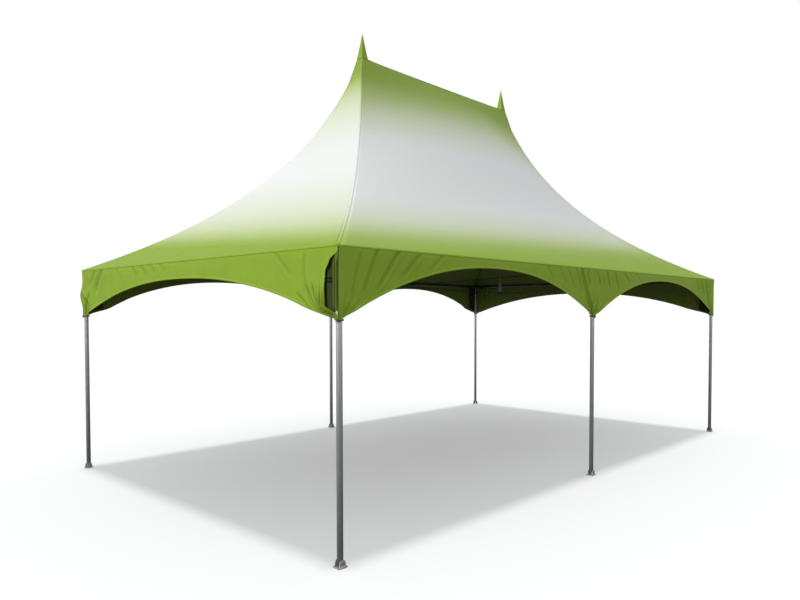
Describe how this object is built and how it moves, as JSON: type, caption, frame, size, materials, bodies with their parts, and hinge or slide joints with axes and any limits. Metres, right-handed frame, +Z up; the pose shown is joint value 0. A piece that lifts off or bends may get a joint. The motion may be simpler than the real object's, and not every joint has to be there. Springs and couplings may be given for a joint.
{
  "type": "twin-peak frame marquee tent",
  "caption": "Rectangular frame marquee with a stretched twin-peak roof skin, arched valances, tube legs on steel feet and masts carried on wire cables.",
  "frame": {"origin": "on the ground, in the middle of the plan", "axes": "+X along the ridge, +Y from the front long side to the back one, +Z up"},
  "size_m": [8.09, 5.09, 5.578],
  "materials": {
    "roof_fabric": "satin coated polyester, green fading to white at mid height",
    "valance_fabric": "satin coated polyester, green",
    "spire_fabric": "satin coated polyester, green",
    "tube_aluminium": "satin extruded tube",
    "head_aluminium": "welded, matt",
    "mast_aluminium": "satin extruded tube",
    "foot_steel": "galvanised, worn",
    "cable_steel": "galvanised wire rope"
  },
  "bodies": {
    "root": {"foot_front_left": "foot_steel", "leg_front_left": "tube_aluminium", "head_front_left": "head_aluminium", "foot_back_left": "foot_steel", "leg_back_left": "tube_aluminium", "head_back_left": "head_aluminium", "foot_front_middle": "foot_steel", "leg_front_middle": "tube_aluminium", "head_front_middle": "head_aluminium", "foot_back_middle": "foot_steel", "leg_back_middle": "tube_aluminium", "head_back_middle": "head_aluminium", "foot_front_right": "foot_steel", "leg_front_right": "tube_aluminium", "head_front_right": "head_aluminium", "foot_back_right": "foot_steel", "leg_back_right": "tube_aluminium", "head_back_right": "head_aluminium", "eave_tube_front_left": "tube_aluminium", "valance_front_left": "valance_fabric", "eave_tube_front_right": "tube_aluminium", "valance_front_right": "valance_fabric", "eave_tube_back_left": "tube_aluminium", "valance_back_left": "valance_fabric", "eave_tube_back_right": "tube_aluminium", "valance_back_right": "valance_fabric", "eave_tube_gable_left": "tube_aluminium", "valance_gable_left": "valance_fabric", "eave_tube_gable_right": "tube_aluminium", "valance_gable_right": "valance_fabric", "mast_left": "mast_aluminium", "mast_cables_left": "cable_steel", "spire_left": "spire_fabric", "mast_right": "mast_aluminium", "mast_cables_right": "cable_steel", "spire_right": "spire_fabric", "ridge_tube": "mast_aluminium", "roof_front": "roof_fabric", "roof_back": "roof_fabric", "roof_gable_left": "roof_fabric", "roof_gable_right": "roof_fabric"}
  },
  "joints": []
}
